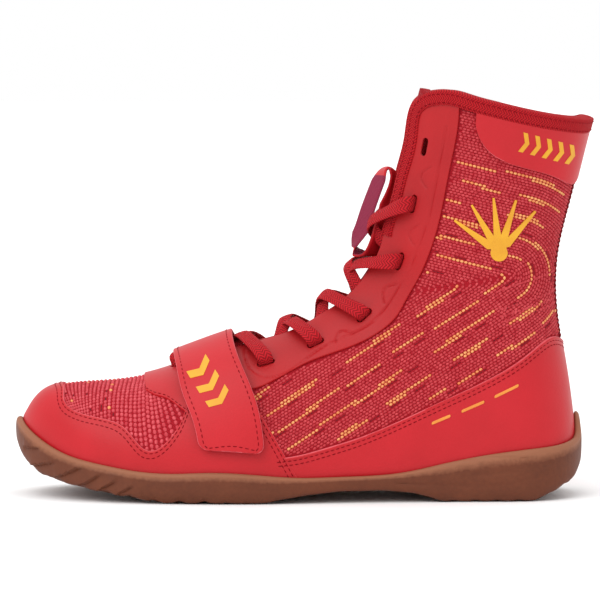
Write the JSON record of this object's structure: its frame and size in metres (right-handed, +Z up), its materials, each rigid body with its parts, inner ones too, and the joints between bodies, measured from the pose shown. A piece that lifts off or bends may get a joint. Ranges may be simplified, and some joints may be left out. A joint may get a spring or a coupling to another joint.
{
  "type": "boxing boot",
  "caption": "High-top laced boxing boot with mesh quarters, smooth overlays, a wrap-over instep strap, bound collar, lace keeper and one-piece gum rubber sole.",
  "frame": {"origin": "on the ground under the middle of the bounding box", "axes": "+X from toe to heel, +Y towards the medial side, +Z up"},
  "size_m": [0.3, 0.1061, 0.2094],
  "materials": {
    "coated_red": "smooth coated synthetic, semi-matt",
    "knit_red": "woven sports mesh",
    "tape_red": "herringbone woven tape",
    "lining_red": "brushed knit lining",
    "gum_rubber": "matt gum rubber",
    "foam": "closed-cell foam",
    "board": "pressed fibre board",
    "yellow_print": "raised print"
  },
  "bodies": {
    "boot": {"toe_panel": "coated_red", "vamp_overlay": "coated_red", "eyestay_lateral": "coated_red", "eyestay_medial": "coated_red", "heel_panel": "coated_red", "collar_patch": "coated_red", "lace_keeper": "coated_red", "strap_anchor": "coated_red", "vamp_mesh": "knit_red", "quarter_mesh_lateral": "knit_red", "quarter_mesh_medial": "knit_red", "tongue": "knit_red", "back_strip": "tape_red", "collar_binding": "tape_red", "lace": "tape_red", "strap_loop_pad": "tape_red", "vamp_lining": "lining_red", "quarter_lining_lateral": "lining_red", "quarter_lining_medial": "lining_red", "sockliner": "lining_red", "outsole": "gum_rubber", "midsole": "foam", "toe_puff": "board", "heel_counter": "board", "insole_board": "board", "patch_trim_lateral": "yellow_print", "patch_trim_medial": "yellow_print", "emblem_lateral": "yellow_print", "emblem_medial": "yellow_print", "heel_accent_lateral_1": "yellow_print", "heel_accent_lateral_2": "yellow_print", "heel_accent_lateral_3": "yellow_print", "heel_accent_medial_1": "yellow_print", "heel_accent_medial_2": "yellow_print", "heel_accent_medial_3": "yellow_print"},
    "strap": {"strap": "coated_red", "strap_hook_pad": "tape_red", "strap_trim": "yellow_print"},
    "tongue_top": {"tongue_top": "knit_red"}
  },
  "joints": [
    {"name": "strap_open", "type": "hinge", "parent": "boot", "child": "strap", "pos_m": [-0.033, 0.0499, 0.0316], "axis": [-0.9916, 0.1292, 0], "range_deg": [0, 100]},
    {"name": "tongue_fold", "type": "hinge", "parent": "boot", "child": "tongue_top", "pos_m": [0.059, 0, 0.168], "axis": [0, 1, 0], "range_deg": [0, 30], "stiffness_Nm_per_rad": 0.05}
  ]
}
